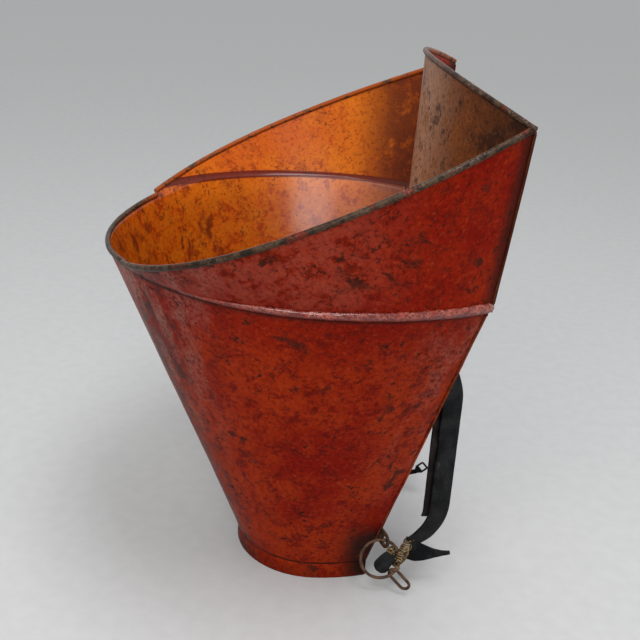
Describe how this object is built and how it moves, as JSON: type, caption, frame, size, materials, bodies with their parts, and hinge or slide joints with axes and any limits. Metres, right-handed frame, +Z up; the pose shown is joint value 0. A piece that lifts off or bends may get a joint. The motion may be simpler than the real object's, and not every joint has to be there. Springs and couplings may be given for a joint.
{
  "type": "grape picker's back hod",
  "caption": "Painted sheet-metal back hod: a tapered tank with a flared collar, a low front lip and a hollow back, carried by leather shoulder straps.",
  "frame": {"origin": "on the floor, under the middle of the hod's outer box", "axes": "+Z is up; +Y points from the hod to the wearer's back; +X is to the right when looking along +Y"},
  "size_m": [0.6784, 0.5211, 0.7644],
  "materials": {
    "red_paint": "worn red-orange paint, orange inside",
    "worn_wire": "dark, paint rubbed off, dull metal showing",
    "floor_sheet": "stained orange paint",
    "rivet_metal": "dull, traces of paint",
    "rusty_iron": "rusty forged iron",
    "black_leather": "stiff, cracked, polished by use",
    "lining_leather": "brown-black, dull",
    "brass_wire": "tarnished",
    "black_iron": "black japanned"
  },
  "bodies": {
    "hod": {"foot_ring": "red_paint", "floor_pan": "floor_sheet", "tank_belly": "red_paint", "tank_back": "red_paint", "collar_right": "red_paint", "collar_left": "red_paint", "collar_back": "red_paint", "lip_bead": "worn_wire", "rim_bead_back": "worn_wire", "corner_rivets": "rivet_metal", "back_lap": "red_paint", "lap_rivets": "rivet_metal", "plate_rivets": "rivet_metal", "rim_bead_right": "worn_wire", "seam_bead_right": "red_paint", "fold_low_right": "red_paint", "fold_high_right": "red_paint", "strap_plate_right": "rusty_iron", "hitch_plate_right": "rusty_iron", "rim_bead_left": "worn_wire", "seam_bead_left": "red_paint", "fold_low_left": "red_paint", "fold_high_left": "red_paint", "strap_plate_left": "rusty_iron", "hitch_plate_left": "rusty_iron"},
    "strap_right_assembly": {"strap_right": "black_leather", "strap_lining_right": "lining_leather", "strap_fold_right": "black_leather", "strap_loop_right": "rusty_iron", "anchor_ring_right": "rusty_iron", "lashing_right": "brass_wire", "strap_tail_right": "black_leather"},
    "link_right": {"oval_link_right": "rusty_iron"},
    "strap_left_assembly": {"strap_left": "black_leather", "strap_lining_left": "lining_leather", "strap_fold_left": "black_leather", "strap_loop_left": "rusty_iron", "anchor_ring_left": "rusty_iron", "lashing_left": "brass_wire", "strap_tail_left": "black_leather"},
    "link_left": {"oval_link_left": "rusty_iron"},
    "buckle": {"small_buckle": "black_iron"}
  },
  "joints": [
    {"name": "strap_swing_right", "type": "hinge", "parent": "hod", "child": "strap_right_assembly", "pos_m": [0.13038, 0.158, 0.08204], "axis": [-0.0228, 0.1006, 0.9947], "range_deg": [-16, 16]},
    {"name": "link_swing_right", "type": "hinge", "parent": "strap_right_assembly", "child": "link_right", "pos_m": [0.1468, 0.17215, 0.03692], "axis": [-0.2418, 0.7071, 0.6645], "range_deg": [-35, 35]},
    {"name": "strap_swing_left", "type": "hinge", "parent": "hod", "child": "strap_left_assembly", "pos_m": [-0.13038, 0.158, 0.08204], "axis": [0.0228, 0.1006, 0.9947], "range_deg": [-16, 16]},
    {"name": "link_swing_left", "type": "hinge", "parent": "strap_left_assembly", "child": "link_left", "pos_m": [-0.1468, 0.17215, 0.03692], "axis": [0.2418, 0.7071, 0.6645], "range_deg": [-35, 35]},
    {"name": "buckle_swing", "type": "hinge", "parent": "strap_left_assembly", "child": "buckle", "pos_m": [-0.121, 0.24229, 0.0525], "axis": [0, -0.6428, 0.766], "range_deg": [-60, 60]}
  ]
}
